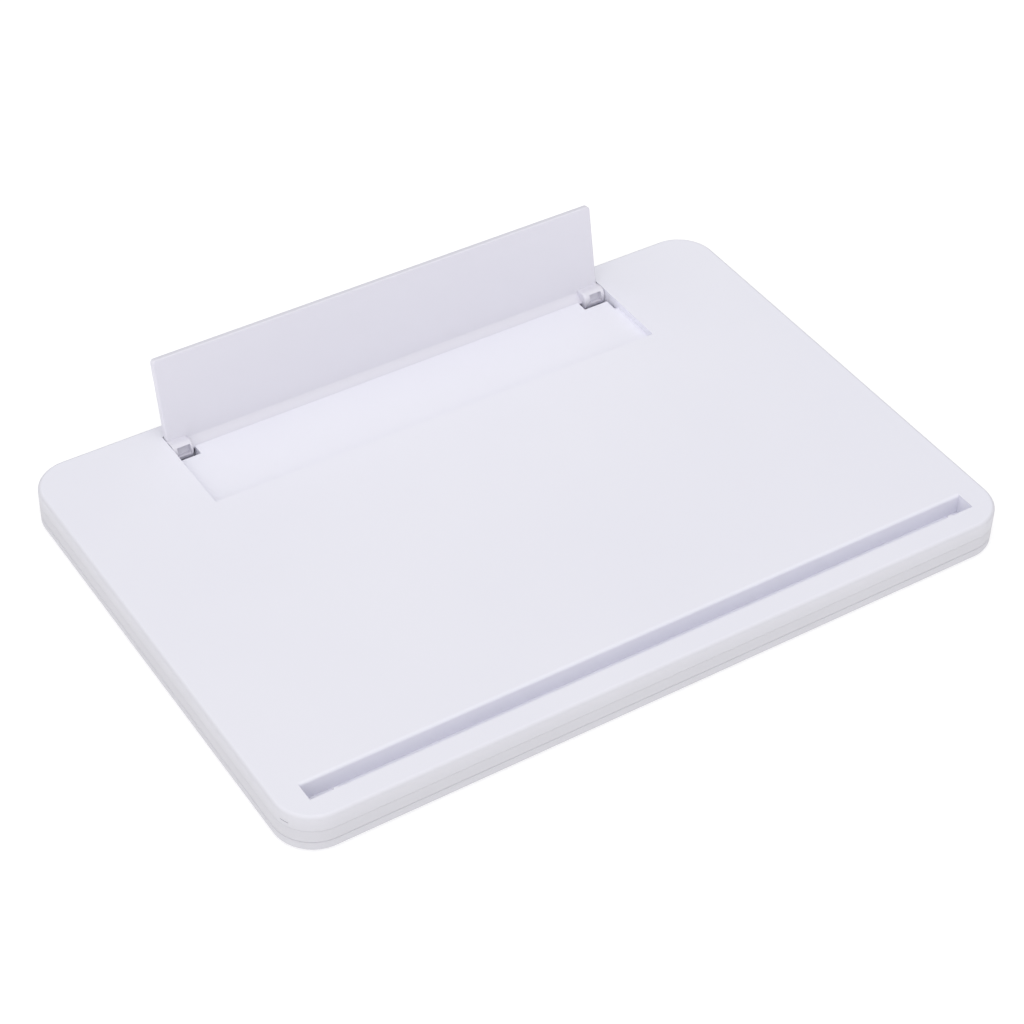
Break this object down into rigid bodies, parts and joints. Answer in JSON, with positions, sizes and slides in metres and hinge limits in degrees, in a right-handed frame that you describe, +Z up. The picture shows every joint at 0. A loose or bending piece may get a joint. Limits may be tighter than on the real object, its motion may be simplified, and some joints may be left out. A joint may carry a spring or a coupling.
{
  "type": "portable drawing board",
  "caption": "Flat moulded drawing board with a long slot for an upright plate and a picture flap that folds flush into its top.",
  "frame": {"origin": "on the table, under the middle of the board, at the bottom of its feet", "axes": "+X along the long front edge, to the right; +Y from the front edge to the back; +Z up out of the drawing surface"},
  "size_m": [0.33, 0.225, 0.0546],
  "materials": {
    "case_white": "satin",
    "base_white": "satin",
    "flap_white": "satin",
    "grey_rubber": "matte",
    "plated_steel": "zinc plated"
  },
  "bodies": {
    "board": {"top_cover": "case_white", "middle_frame": "base_white", "bottom_cover": "base_white", "hinge_retainer_left": "base_white", "hinge_retainer_right": "base_white", "retainer_screw_left": "plated_steel", "retainer_screw_right": "plated_steel", "cover_screw_front_left": "plated_steel", "cover_screw_front_middle": "plated_steel", "cover_screw_front_right": "plated_steel", "cover_screw_side_left": "plated_steel", "cover_screw_side_right": "plated_steel", "cover_screw_back_left": "plated_steel", "cover_screw_back_middle": "plated_steel", "cover_screw_back_right": "plated_steel", "foot_front_left": "grey_rubber", "foot_front_right": "grey_rubber", "foot_back_left": "grey_rubber", "foot_back_right": "grey_rubber"},
    "flap": {"picture_flap": "flap_white", "hinge_pin_left": "plated_steel", "hinge_pin_right": "plated_steel"}
  },
  "joints": [
    {"name": "flap_hinge", "type": "hinge", "parent": "board", "child": "flap", "pos_m": [0, 0.0996, 0.0148], "axis": [1, 0, 0], "range_deg": [0, 102.34]}
  ]
}
